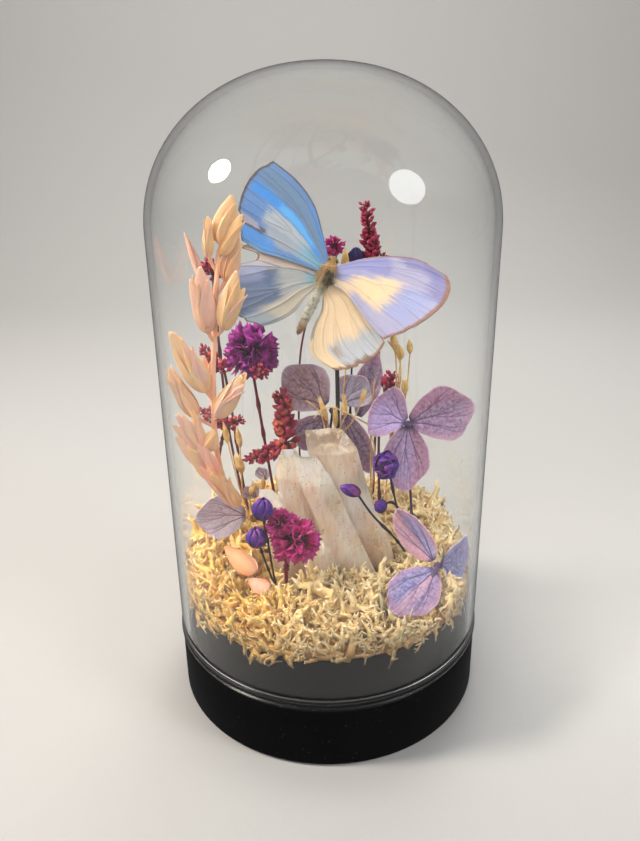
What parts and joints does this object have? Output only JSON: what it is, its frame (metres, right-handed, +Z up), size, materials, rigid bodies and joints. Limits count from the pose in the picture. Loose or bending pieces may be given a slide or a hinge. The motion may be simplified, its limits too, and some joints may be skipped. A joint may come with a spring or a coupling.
{
  "type": "butterfly display under a glass dome",
  "caption": "Butterfly on a wire over a quartz cluster, moss and dried flowers, sealed under a round-topped glass dome on a turned black base.",
  "frame": {"origin": "centre of the base's flat underside", "axes": "+Z up along the dome's axis, -Y the front of the display, +X to the viewer's right"},
  "size_m": [0.1006, 0.1006, 0.198],
  "materials": {
    "black_wood": "satin black paint on turned wood",
    "clear_glass": "polished clear glass",
    "moss": "dry bleached reindeer moss, matt",
    "quartz": "milky crystal, glossy faces",
    "butterfly_wing": "fine scales with a soft sheen",
    "butterfly_body": "short dull fur",
    "black_wire": "black lacquered wire",
    "oat_husk": "dry papery husk, dyed pink",
    "hydrangea_petal": "dry papery petal with dark veins",
    "dry_stalk": "dry stalk, matt",
    "magenta_bloom": "crinkled dried florets, matt",
    "violet_bloom": "crinkled dried buds, matt",
    "crimson_bud": "small dried buds, matt",
    "straw": "dry golden straw, matt"
  },
  "bodies": {
    "root": {"base": "black_wood", "glass_dome": "clear_glass", "quartz_cluster": "quartz", "butterfly_body": "butterfly_body", "mounting_wire": "black_wire", "oat_stem": "oat_husk", "right_floret_stalk": "dry_stalk", "low_floret_stalk": "dry_stalk", "back_floret_stalk": "dry_stalk", "bud_pair": "violet_bloom", "double_bloom": "magenta_bloom", "violet_sprig": "violet_bloom", "front_bud": "violet_bloom", "back_bloom": "magenta_bloom", "high_bloom": "magenta_bloom", "dark_bud": "violet_bloom", "seed_pods_left": "straw", "seed_pods_centre": "straw", "moss_back_right": "moss", "moss_back_left": "moss", "moss_left": "moss", "moss_front_left": "moss", "moss_front_right": "moss", "moss_right": "moss", "forewing_left": "butterfly_wing", "forewing_right": "butterfly_wing", "hindwing_left": "butterfly_wing", "hindwing_right": "butterfly_wing", "oat_spikelet_1": "oat_husk", "oat_spikelet_2": "oat_husk", "oat_spikelet_3": "oat_husk", "oat_spikelet_4": "oat_husk", "oat_spikelet_5": "oat_husk", "oat_spikelet_6": "oat_husk", "oat_spikelet_7": "oat_husk", "oat_spikelet_8": "oat_husk", "oat_spikelet_9": "oat_husk", "oat_spikelet_10": "oat_husk", "oat_spikelet_11": "oat_husk", "oat_spikelet_12": "oat_husk", "fallen_husk_1": "oat_husk", "fallen_husk_2": "oat_husk", "right_floret_petal_left": "hydrangea_petal", "right_floret_petal_right": "hydrangea_petal", "right_floret_petal_low": "hydrangea_petal", "low_floret_petal_left": "hydrangea_petal", "low_floret_petal_right": "hydrangea_petal", "low_floret_petal_front": "hydrangea_petal", "back_floret_petal_left": "hydrangea_petal", "back_floret_petal_right": "hydrangea_petal", "back_floret_petal_far": "hydrangea_petal", "back_floret_petal_low": "hydrangea_petal", "back_floret_petal_under": "hydrangea_petal", "loose_petal_left": "hydrangea_petal", "crimson_sprig_top": "crimson_bud", "crimson_sprig_far_left": "crimson_bud", "crimson_sprig_mid_left": "crimson_bud", "crimson_sprig_low_left": "crimson_bud", "crimson_sprig_back": "crimson_bud", "crimson_sprig_right": "crimson_bud"}
  },
  "joints": []
}
